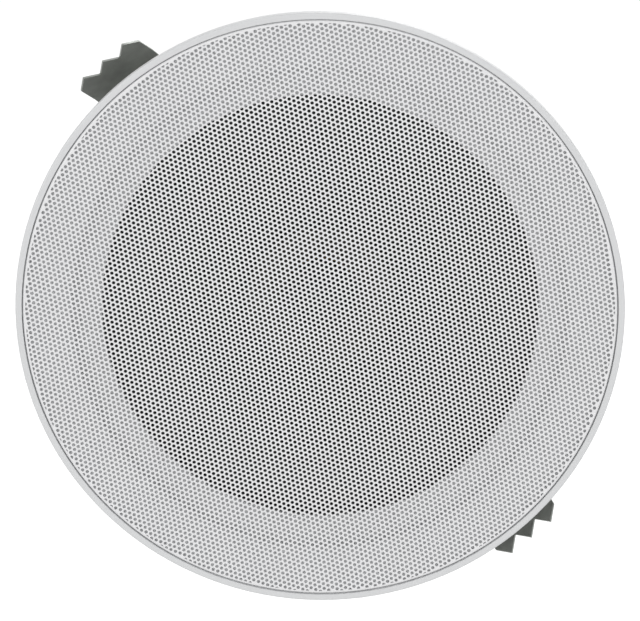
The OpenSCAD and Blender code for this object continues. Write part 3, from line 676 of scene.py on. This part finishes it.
class SPEAKER_OT_grille(bpy.types.Operator):
    """Perforated steel grille, a little dished, with its edge turned back"""

    bl_idname = "speaker.grille"
    bl_label = "Grille"

    def execute(self, context):
        sizes = context.scene.speaker_sizes
        low, high = node_span("grille")
        outer = (high.x - low.x) / 2
        thick = sizes.sheet_thickness
        front = -low.y - thick / 2
        bend = sizes.sheet_bend - thick / 2
        edge = outer - thick / 2
        turned = front - bend + high.y
        flat_radius = edge - bend
        flat_end = flat_radius + bend * math.pi / 2 + turned
        pitch = sizes.hole_pitch
        row_gap = pitch * math.sin(math.pi / 3)
        rows = math.ceil(flat_end / pitch / math.cos(math.radians(30))) + 1

        # An octagon of the same area as the round hole
        hole = sizes.hole_width * math.sqrt(math.pi / (2 * math.sqrt(2)))
        sheet = perforated_cell(pitch, hole)
        corners = len(sheet.data.vertices)
        for step in (Vector((pitch, 0, 0)), Vector((pitch / 2, row_gap, 0))):
            repeat = {
                "count": 2 * rows + 1,
                "use_relative_offset": False,
                "use_constant_offset": True,
                "constant_offset_displace": step,
            }
            apply_modifier(sheet, "ARRAY", repeat)
        # The middle cell of both arrays goes to the place of the hole nearest the middle
        middle = Vector((pitch * 1.5, row_gap, 0)) * rows
        sheet.matrix_world = (
            Matrix.Translation((sizes.row_x, sizes.row_z, 0))
            @ Matrix.Rotation(sizes.row_turn, 4, "Z")
            @ Matrix.Translation(-middle)
        )
        apply_place(sheet)

        # Cells with enough of their hole on the flat of the sheet stay. What reaches past
        # the start of the bend is drawn in, so that the last holes are cut short there
        points = coordinates(sheet.data).reshape(-1, corners, 3)
        centres = points[:, :CELL_SIDES].mean(axis=1)
        inside = np.hypot(centres[:, 0], centres[:, 1]) < flat_radius + CELL_REACH * pitch
        reach = np.hypot(points[..., 0], points[..., 1])
        limit = np.full(corners, flat_radius - HOLE_INSET)
        limit[:CELL_SIDES] = flat_radius - CELL_INSET
        points[..., :2] *= np.minimum(limit / np.maximum(reach, MM), 1)[..., None]
        set_coordinates(sheet.data, points.reshape(-1, 3))
        mark = sheet.data.attributes.new("hole_edge", "FLOAT", "POINT")
        on_hole = np.tile(np.arange(corners) >= CELL_SIDES, len(points))
        mark.data.foreach_set("value", on_hole.astype(np.float32))
        quarter = np.where(centres[:, 0] > 0, 0, 1) + np.where(centres[:, 1] > 0, 0, 2)
        owner = sheet.data.attributes.new("quarter", "INT", "FACE")
        cell_faces = len(sheet.data.polygons) // len(points)
        owner.data.foreach_set("value", np.repeat(quarter + 1, cell_faces).astype(np.int32))
        keep_vertices(sheet, np.repeat(inside, corners))
        quarter_turn = bend * math.pi / 2
        rings = [flat_radius + quarter_turn * step / BEND_RINGS for step in range(BEND_RINGS + 1)]
        self.add_rim(sheet, rings + [flat_end])

        form = form_sheet(coordinates(sheet.data), edge, bend, sizes.sheet_dish, front)
        set_coordinates(sheet.data, form)
        sheet.matrix_world = TO_FRAME
        apply_place(sheet)
        self.split(sheet, sizes.sheet_thickness)
        bpy.data.objects.remove(sheet)
        return {"FINISHED"}

    @staticmethod
    def add_rim(sheet, radii):
        """Joins the cells and carries the sheet's outside outwards in rings of the given radii."""
        select_only(sheet)
        bpy.ops.object.mode_set(mode="EDIT")
        bpy.ops.mesh.select_all(action="SELECT")
        bpy.ops.mesh.remove_doubles(threshold=5 * SAME)
        bpy.ops.mesh.select_all(action="DESELECT")
        bpy.ops.mesh.select_mode(type="EDGE")
        drawn = bmesh.from_edit_mesh(sheet.data)
        mark = drawn.verts.layers.float["hole_edge"]
        for line in drawn.edges:
            if line.is_boundary and not any(v[mark] > 0.5 for v in line.verts):
                line.select_set(True)
        bmesh.update_edit_mesh(sheet.data)
        for radius in radii:
            bpy.ops.mesh.extrude_edges_move()
            drawn = bmesh.from_edit_mesh(sheet.data)
            for vertex in drawn.verts:
                if vertex.select:
                    factor = radius / math.hypot(vertex.co.x, vertex.co.y)
                    vertex.co.x *= factor
                    vertex.co.y *= factor
            bmesh.update_edit_mesh(sheet.data)
        bpy.ops.mesh.select_mode(type="VERT")
        bpy.ops.mesh.select_all(action="SELECT")
        bpy.ops.mesh.normals_make_consistent(inside=False)
        bpy.ops.object.mode_set(mode="OBJECT")

    @staticmethod
    def split(sheet, thickness):
        """Cuts the formed sheet between its cells into four quarters, each with its thickness."""
        for number, letter in enumerate("abcd", start=1):
            piece = sheet.copy()
            piece.data = sheet.data.copy()
            bpy.context.scene.collection.objects.link(piece)
            select_only(piece)
            bpy.ops.object.mode_set(mode="EDIT")
            bpy.ops.mesh.select_mode(type="FACE")
            bpy.ops.mesh.select_all(action="DESELECT")
            drawn = bmesh.from_edit_mesh(piece.data)
            owner = drawn.faces.layers.int["quarter"]
            for face in drawn.faces:
                if face[owner] != number:
                    face.select_set(True)
            bmesh.update_edit_mesh(piece.data)
            bpy.ops.mesh.delete(type="FACE")
            bpy.ops.mesh.select_mode(type="VERT")
            bpy.ops.object.mode_set(mode="OBJECT")
            apply_modifier(piece, "SOLIDIFY", {"thickness": thickness, "offset": 0})
            select_only(piece)
            bpy.ops.object.shade_smooth_by_angle(angle=math.radians(40))
            name = "grille_sheet_" + letter
            nodes = ["grille"] if number == 1 else []
            seat(piece, name, HOUSING, "white_sheet", "white_powder_coat", *nodes)


# Frame, clamps and fixed pieces

# Nodes shown as softened copies: node, name of the piece, slot, finish and rounding in mm
CLAMP_COPIES = (
    ("clamp_rivets", "clamp_rivet_heads", "rivet_steel", "nickel_plated_steel", 0.2),
    ("clamp_backings", "clamp_back_plates", "zinc_steel", "zinc_plated_steel", 0.15),
)
DRIVER_COPIES = (
    ("basket", "basket_pressing", "black_sheet", "black_coated_steel", 0.3),
    ("driver_gasket", "gasket_ring", "gasket_rubber", "foam_gasket", 0.4),
    ("top_plate", "front_plate", "zinc_steel", "turned_zinc_steel", 0.3),
    ("magnet", "ferrite_ring", "ferrite", "sintered_ferrite", 0.2),
    ("yoke", "yoke_plate", "zinc_steel", "turned_zinc_steel", 0.3),
)
FASTENER_COPIES = (
    ("basket_rivets", "basket_stakes", "rivet_steel", "nickel_plated_steel", 0.15),
    ("driver_screws", "driver_screw_heads", "black_screws", "black_oxide_steel", 0.12),
    ("board_rivet", "board_rivet_heads", "rivet_steel", "nickel_plated_steel", 0.12),
    ("block_screws", "block_screw_heads", "screw_steel", "nickel_plated_steel", 0.12),
    ("terminal_screws", "pole_screws", "screw_steel", "nickel_plated_steel", 0.12),
)
TERMINAL_COPIES = (
    ("lug_board", "lug_board_plate", "board_laminate", "phenolic_laminate", 0.1),
    ("solder_lugs", "lug_blades", "tinned_brass", "tinned_brass", 0.08),
    ("terminal_block", "terminal_body", "black_plastic", "glass_filled_nylon_black", 0.25),
    ("contact_bars", "pole_bars", "contact_brass", "drawn_brass", 0.15),
)


def copy_all(rows):
    """Softened copies of the nodes in a table, on the housing."""
    for node, name, slot, material, width in rows:
        softened_copy(node, name, HOUSING, slot, material, width * MM)


class SPEAKER_OT_frame(bpy.types.Operator):
    """Moulded frame with its edges broken"""

    bl_idname = "speaker.frame"
    bl_label = "Frame"

    def execute(self, context):
        width = context.scene.speaker_sizes.edge_break
        # A short side needs a little more than two roundings to stay clear of itself
        shortest = 2.2 * width
        softened_copy(
            "frame",
            "frame_moulding",
            HOUSING,
            "white_plastic",
            "white_moulded_abs",
            width,
            shortest=shortest,
        )
        return {"FINISHED"}


class SPEAKER_OT_clamps(bpy.types.Operator):
    """Two toothed spring leaves with sheared edges, their rivets and backing plates"""

    bl_idname = "speaker.clamps"
    bl_label = "Clamps"

    def execute(self, context):
        for node, turn in (("clamp_upper", CLAMP_TURN), ("clamp_lower", CLAMP_TURN + 180)):
            leaf = softened_copy(
                node,
                node + "_leaf",
                HOUSING,
                "spring_steel",
                "phosphated_spring_steel",
                0.1 * MM,
                angle=50,
            )
            self.brighten_cuts(leaf, turn)
        copy_all(CLAMP_COPIES)
        return {"FINISHED"}

    @staticmethod
    def brighten_cuts(leaf, turn):
        """Gives the sheared sides and teeth of a leaf the finish of bare cut steel. They are the
        faces that look along the leaf's width."""
        leaf.data.materials.append(finish_of("sheared_steel_edge"))
        aside = Vector((-math.sin(math.radians(turn)), 0, math.cos(math.radians(turn))))
        for face in leaf.data.polygons:
            if abs(face.normal.dot(aside)) > 0.2:
                face.material_index = 1


class SPEAKER_OT_driver(bpy.types.Operator):
    """Basket, gasket and magnet system"""

    bl_idname = "speaker.driver"
    bl_label = "Driver"

    def execute(self, context):
        copy_all(DRIVER_COPIES)
        return {"FINISHED"}


class SPEAKER_OT_fasteners(bpy.types.Operator):
    """Rivets and screws"""

    bl_idname = "speaker.fasteners"
    bl_label = "Fasteners"

    def execute(self, context):
        copy_all(FASTENER_COPIES)
        return {"FINISHED"}


# Guide points of a lead from its lug to the terminal block, and of a braided lead from its lug
# to the former: radius, distance to one side of the terminals' direction and height, in mm
LEAD_D = 2
LEAD_GUIDES = ((59.19, 5, -23.27), (70.19, 6, -27.27), (66.5, 7.5, -43.6), (78.7, 7.5, -43.6))
TINSEL_D = 0.9
TINSEL_GUIDES = ((51.03, 5, -19.36), (44.03, 5, -18.36), (29.15, 3.5, -36.05), (13.45, 3, -36.55))
TINSEL_MIDDLE = -28


class SPEAKER_OT_terminals(bpy.types.Operator):
    """Lug board, terminal block and the two insulated leads between them"""

    bl_idname = "speaker.terminals"
    bl_label = "Terminals"

    def execute(self, context):
        copy_all(TERMINAL_COPIES)
        for side, name, slot, material in (
            (1, "lead_red", "red_insulation", "red_pvc_insulation"),
            (-1, "lead_black", "black_insulation", "black_pvc_insulation"),
        ):
            lead = wire([at_terminals(r, side * s, z) for r, s, z in LEAD_GUIDES], LEAD_D)
            smooth(lead, angle=50)
            seat(lead, name + "_insulation", HOUSING, slot, material, name)
        return {"FINISHED"}


# Moving pieces and what carries them, as radius and height before the ceiling seat in mm

PAPER_T = 0.7
CONE_GUIDES = ((13.2, -31.7), (25.15, -26.07), (40, -16.02), (53.65, -11.65))
RIDGE_RADII = (38, 42, 46)
RIDGE_HALF_W = 0.9
RIDGE_H = 0.4
WHIZZER_T = 0.5
WHIZZER_GUIDES = ((13.2, -29.2), (16.15, -22.6), (20, -19.3), (27.3, -15.6))
WHIZZER_EDGE = [(27.75, -15.35), (27.95, -15.5), (27.9, -15.9)]
CAP_T = 0.5
CAP_RISE = 5
CAP_R = 13.15
CAP_FOOT = -26.1
CAP_STEPS = 24
SURROUND_T = 0.6
ROLL_R = 4
ROLL_MIDDLE = (58.6, -8.7)
ROLL_STEPS = 24
SURROUND_LIP = [(66, -8.7), (63.2, -8.7)]
SURROUND_SKIRT = [(54.5, -9.8), (54.2, -10.8), (53.2, -11.25), (51.6, -11.75)]
# Heights from which the surround and the spider follow the housing and the cone
ROLL_FIXED = -8.7
ROLL_MOVING = -11.2
SPIDER_FIXED = -40.8
SPIDER_MOVING = -38.4
SPIDER_T = 0.5
SPIDER_IN_R = 13.45
SPIDER_WAVE_R = 30.5
SPIDER_OUT_R = 39.3
SPIDER_SEAT = -40.75
SPIDER_RISE = 2.4
WAVE_H = 0.8
WAVES = 4
WAVE_STEPS = 14


class SPEAKER_OT_cone(bpy.types.Operator):
    """Ridged paper cone, inner cone and dust cap"""

    bl_idname = "speaker.cone"
    bl_label = "Cone"

    def execute(self, context):
        self.paper_cone()
        self.inner_cone()
        self.dust_cap()
        for node, name, slot, material in (
            ("coil_former", "former_tube", "former_film", "polyimide_film"),
            ("coil_winding", "winding_layers", "copper_wire", "enamelled_copper"),
        ):
            softened_copy(node, name, MOVING, slot, material, width=0)
        return {"FINISHED"}

    @staticmethod
    def paper_cone():
        """Cone with three pressed ridges towards its edge and a flat rim under the surround."""
        profile = []
        for radius, height in guided(CONE_GUIDES, steps=90):
            ridge = 0
            for middle in RIDGE_RADII:
                near = (radius - middle) / RIDGE_HALF_W
                ridge += RIDGE_H * math.exp(-near * near)
            profile.append((radius, height + ridge))
        cone = spun(profile, steps=144, thickness=PAPER_T)
        smooth(cone, angle=50)
        seat(cone, "cone_paper", MOVING, "cone_paper", "pressed_paper_cone", "cone")

    @staticmethod
    def inner_cone():
        """Small cone with a rolled edge."""
        profile = guided(WHIZZER_GUIDES, steps=30) + WHIZZER_EDGE
        cone = spun(profile, steps=96, thickness=WHIZZER_T)
        smooth(cone, angle=60)
        finish = "pressed_paper_whizzer"
        seat(cone, "whizzer_paper", MOVING, "whizzer_paper", finish, "whizzer_cone")

    @staticmethod
    def dust_cap():
        """Domed cap whose rim is glued on the former."""
        ball = (CAP_R * CAP_R + CAP_RISE * CAP_RISE) / (2 * CAP_RISE)
        span = math.asin(CAP_R / ball)
        centre = CAP_FOOT + CAP_RISE - ball
        angles = [span * step / CAP_STEPS for step in range(CAP_STEPS + 1)]
        profile = [(ball * math.sin(a), centre + ball * math.cos(a)) for a in angles]
        cap = spun(profile, steps=72, thickness=CAP_T, offset=-1)
        smooth(cap, angle=60)
        seat(cap, "dust_cap_cloth", MOVING, "cap_cloth", "treated_cloth_cap", "dust_cap")


class SPEAKER_OT_suspension(bpy.types.Operator):
    """Surround, spider and braided leads, which stretch between the housing and the cone"""

    bl_idname = "speaker.suspension"
    bl_label = "Suspension"

    def execute(self, context):
        self.surround()
        self.spider()
        self.tinsel()
        return {"FINISHED"}

    @staticmethod
    def surround():
        """Half-round roll with a flat lip outside and a skirt glued to the cone inside. Only
        what lies between the lip and the skirt stretches."""
        radius, height = ROLL_MIDDLE
        angles = [math.pi * step / ROLL_STEPS for step in range(ROLL_STEPS + 1)]
        roll = [(radius + ROLL_R * math.cos(a), height + ROLL_R * math.sin(a)) for a in angles]
        profile = SURROUND_LIP + roll + SURROUND_SKIRT
        piece = spun(profile, steps=144, thickness=SURROUND_T)
        smooth(piece, angle=60)
        dress(piece, "surround_roll", "surround_rubber", "butyl_rubber_surround", "surround")
        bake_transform(piece, HOUSING, MOVING, (0, -ROLL_FIXED * MM, 0), (0, -ROLL_MOVING * MM, 0))

    @staticmethod
    def spider():
        """Disc of waved cloth with a flat rim on the basket's shelf."""
        profile = []
        steps = WAVES * WAVE_STEPS
        for step in range(steps + 1):
            t = step / steps
            wave = WAVE_H * math.sin(2 * math.pi * WAVES * t)
            radius = SPIDER_IN_R + (SPIDER_WAVE_R - SPIDER_IN_R) * t
            profile.append((radius, SPIDER_SEAT + SPIDER_RISE * (1 - t) + wave))
        profile.append((SPIDER_OUT_R, SPIDER_SEAT))
        piece = spun(profile, steps=120, thickness=SPIDER_T)
        smooth(piece, angle=60)
        dress(piece, "spider_cloth", "spider_cloth", "resin_dipped_cloth", "spider")
        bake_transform(piece, HOUSING, MOVING, (0, -SPIDER_FIXED * MM, 0), (0, -SPIDER_MOVING * MM, 0))

    @staticmethod
    def tinsel():
        """Two braided leads from the lugs to the former."""
        leads = []
        for side in (1, -1):
            guides = [at_terminals(r, side * s, z) for r, s, z in TINSEL_GUIDES]
            leads.append(wire(guides, TINSEL_D, rings=40))
        piece = joined(leads)
        smooth(piece, angle=60)
        # They stretch along the radius, so both ends of the blend are at one height
        start = at_terminals(TINSEL_GUIDES[0][0], 0, TINSEL_MIDDLE)
        end = at_terminals(TINSEL_GUIDES[-1][0], 0, TINSEL_MIDDLE)
        dress(piece, "tinsel_braids", "braided_copper", "braided_copper", "tinsel_leads")
        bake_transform(piece, HOUSING, MOVING, start, end)


# Stage

FLOOR_HEIGHT = -0.42
# Name, place and side in metres, and power in watts of each soft lamp
LAMPS = (
    ("left_lamp", (-1.5, -1.6, 0.45), 1.1, 15),
    ("right_lamp", (1.5, -1.5, 0.3), 1.1, 12),
    ("rear_lamp", (0.6, 1.6, 1.2), 1.4, 18),
)
WORLD_LIGHT = 0.5
# The camera is a little to the right of the axis and above it, in degrees
VIEW_TURN = 1.21
VIEW_RISE = 15.62
VIEW_TARGET = Vector((0.13, -3.6, 0.91)) * MM
LENS = 218.64


class SPEAKER_OT_stage(bpy.types.Operator):
    """Pale floor, plain soft light and the camera"""

    bl_idname = "speaker.stage"
    bl_label = "Stage"

    def execute(self, context):
        scene = context.scene
        colours = scene.speaker_colours
        scene.view_settings.view_transform = "Standard"
        self.make_world(scene)
        self.make_floor(colours)
        self.make_lamps(scene)
        self.make_camera(scene)
        return {"FINISHED"}

    @staticmethod
    def seen_directly(tree):
        """1 for camera, mirror and see-through rays, and 0 for the rays that light the object."""
        path = add_node(tree, "ShaderNodeLightPath")
        both = add_node(
            tree,
            "ShaderNodeMath",
            {"operation": "MAXIMUM"},
            {0: path.outputs["Is Camera Ray"], 1: path.outputs["Is Glossy Ray"]},
        )
        every = add_node(
            tree,
            "ShaderNodeMath",
            {"operation": "MAXIMUM"},
            {0: both.outputs[0], 1: path.outputs["Is Transmission Ray"]},
        )
        return every.outputs[0]

    def make_world(self, scene):
        """Even light from all round, seen as white behind the loudspeaker."""
        world = bpy.data.worlds.new("studio")
        scene.world = world
        world.use_nodes = True
        tree = world.node_tree
        tree.nodes.clear()
        output = add_node(tree, "ShaderNodeOutputWorld")
        white = (1, 1, 1, 1)
        light = add_node(tree, "ShaderNodeBackground", {"Color": white, "Strength": WORLD_LIGHT})
        seen = add_node(tree, "ShaderNodeBackground", {"Color": white, "Strength": 1.0})
        mix = add_node(
            tree,
            "ShaderNodeMixShader",
            {},
            {0: self.seen_directly(tree), 1: light.outputs[0], 2: seen.outputs[0]},
        )
        tree.links.new(mix.outputs[0], output.inputs["Surface"])

    def make_floor(self, colours):
        """Pale floor well below the held object, which keeps its shadow. Its paper gives back
        half of the light, and its glow brings that up to the white of the backdrop."""
        bpy.ops.mesh.primitive_plane_add(size=12, location=(0, 0, FLOOR_HEIGHT))
        floor = bpy.context.object
        floor.name = "studio_floor"
        apply_place(floor)
        tree, output, _ = new_material("studio_floor_paper")
        tone = list(colours.background) + [1]
        half = [c * 0.5 for c in colours.background] + [1]
        paper = add_node(tree, "ShaderNodeBsdfDiffuse", {"Color": half})
        glow = add_node(tree, "ShaderNodeEmission", {"Color": tone, "Strength": 0.75})
        dark = add_node(tree, "ShaderNodeEmission", {"Color": (0, 0, 0, 1), "Strength": 0.0})
        white = add_node(
            tree,
            "ShaderNodeMixShader",
            {},
            {0: self.seen_directly(tree), 1: dark.outputs[0], 2: glow.outputs[0]},
        )
        both = add_node(tree, "ShaderNodeAddShader", {}, {0: paper.outputs[0], 1: white.outputs[0]})
        tree.links.new(both.outputs[0], output.inputs["Surface"])
        floor.data.materials.append(finish_of("studio_floor_paper"))

    @staticmethod
    def make_lamps(scene):
        """Soft lamps to the left and right of the camera, and one behind for the rear."""
        for name, place, size, power in LAMPS:
            lamp = bpy.data.lights.new(name, "AREA")
            lamp.energy = power
            lamp.size = size
            holder = bpy.data.objects.new(name, lamp)
            scene.collection.objects.link(holder)
            holder.location = place
            holder.rotation_euler = (-Vector(place)).to_track_quat("-Z", "Y").to_euler()

    @staticmethod
    def make_camera(scene):
        """The photograph's view."""
        turn = math.radians(VIEW_TURN)
        rise = math.radians(VIEW_RISE)
        level = math.cos(rise)
        back = Vector((math.sin(turn) * level, -math.cos(turn) * level, math.sin(rise)))
        data = bpy.data.cameras.new("camera")
        data.sensor_width = 36
        data.lens = LENS
        data.clip_start = 0.01
        data.clip_end = 100
        camera = bpy.data.objects.new("camera", data)
        scene.collection.objects.link(camera)
        camera.location = VIEW_TARGET + back * scene.speaker_sizes.camera_distance
        camera.rotation_euler = (-back).to_track_quat("-Z", "Y").to_euler()
        scene.camera = camera


# Finishes of the CAD nodes themselves, each of which is hidden behind the piece made from it

NODE_FINISH = {
    "grille": "white_powder_coat",
    "frame": "white_moulded_abs",
    "basket": "black_coated_steel",
    "driver_gasket": "foam_gasket",
    "surround": "butyl_rubber_surround",
    "spider": "resin_dipped_cloth",
    "top_plate": "turned_zinc_steel",
    "magnet": "sintered_ferrite",
    "yoke": "turned_zinc_steel",
    "basket_rivets": "nickel_plated_steel",
    "driver_screws": "black_oxide_steel",
    "lug_board": "phenolic_laminate",
    "solder_lugs": "tinned_brass",
    "board_rivet": "nickel_plated_steel",
    "tinsel_leads": "braided_copper",
    "clamp_upper": "phosphated_spring_steel",
    "clamp_lower": "phosphated_spring_steel",
    "clamp_rivets": "nickel_plated_steel",
    "clamp_backings": "zinc_plated_steel",
    "terminal_block": "glass_filled_nylon_black",
    "contact_bars": "drawn_brass",
    "terminal_screws": "nickel_plated_steel",
    "block_screws": "nickel_plated_steel",
    "lead_red": "red_pvc_insulation",
    "lead_black": "black_pvc_insulation",
    "cone": "pressed_paper_cone",
    "whizzer_cone": "pressed_paper_whizzer",
    "dust_cap": "treated_cloth_cap",
    "coil_former": "polyimide_film",
    "coil_winding": "enamelled_copper",
}


class SPEAKER_OT_finishes(bpy.types.Operator):
    """The finishes, and each CAD node's own"""

    bl_idname = "speaker.finishes"
    bl_label = "Finishes"

    def execute(self, context):
        make_finishes(context.scene.speaker_colours)
        for name, finish in NODE_FINISH.items():
            node = frame["nodes"][name]
            node.data.materials.clear()
            node.data.materials.append(finish_of(finish))
        return {"FINISHED"}


class SPEAKER_PT_panel(bpy.types.Panel):
    """The steps in their order, and the sizes and colours"""

    bl_label = "In Ceiling Speaker"
    bl_idname = "SPEAKER_PT_panel"
    bl_space_type = "VIEW_3D"
    bl_region_type = "UI"
    bl_category = "Speaker"

    def draw(self, context):
        for step in STEPS:
            self.layout.operator(step.bl_idname)
        for name in SpeakerSizes.__annotations__:
            self.layout.prop(context.scene.speaker_sizes, name)
        for name in SpeakerColours.__annotations__:
            self.layout.prop(context.scene.speaker_colours, name)


STEPS = (
    SPEAKER_OT_finishes,
    SPEAKER_OT_grille,
    SPEAKER_OT_frame,
    SPEAKER_OT_clamps,
    SPEAKER_OT_driver,
    SPEAKER_OT_cone,
    SPEAKER_OT_suspension,
    SPEAKER_OT_terminals,
    SPEAKER_OT_fasteners,
    SPEAKER_OT_stage,
)
CLASSES = (SpeakerSizes, SpeakerColours) + STEPS + (SPEAKER_PT_panel,)


def register():
    """Adds the classes and the two groups of settings."""
    for made in CLASSES:
        bpy.utils.register_class(made)
    bpy.types.Scene.speaker_sizes = bpy.props.PointerProperty(type=SpeakerSizes)
    bpy.types.Scene.speaker_colours = bpy.props.PointerProperty(type=SpeakerColours)


def unregister():
    """Takes the settings and the classes out again."""
    del bpy.types.Scene.speaker_colours
    del bpy.types.Scene.speaker_sizes
    for made in reversed(CLASSES):
        bpy.utils.unregister_class(made)


def main():
    register()
    bpy.ops.speaker.finishes()
    bpy.ops.speaker.grille()
    bpy.ops.speaker.frame()
    bpy.ops.speaker.clamps()
    bpy.ops.speaker.driver()
    bpy.ops.speaker.cone()
    bpy.ops.speaker.suspension()
    bpy.ops.speaker.terminals()
    bpy.ops.speaker.fasteners()
    bpy.ops.speaker.stage()


if __name__ == "__main__":
    main()
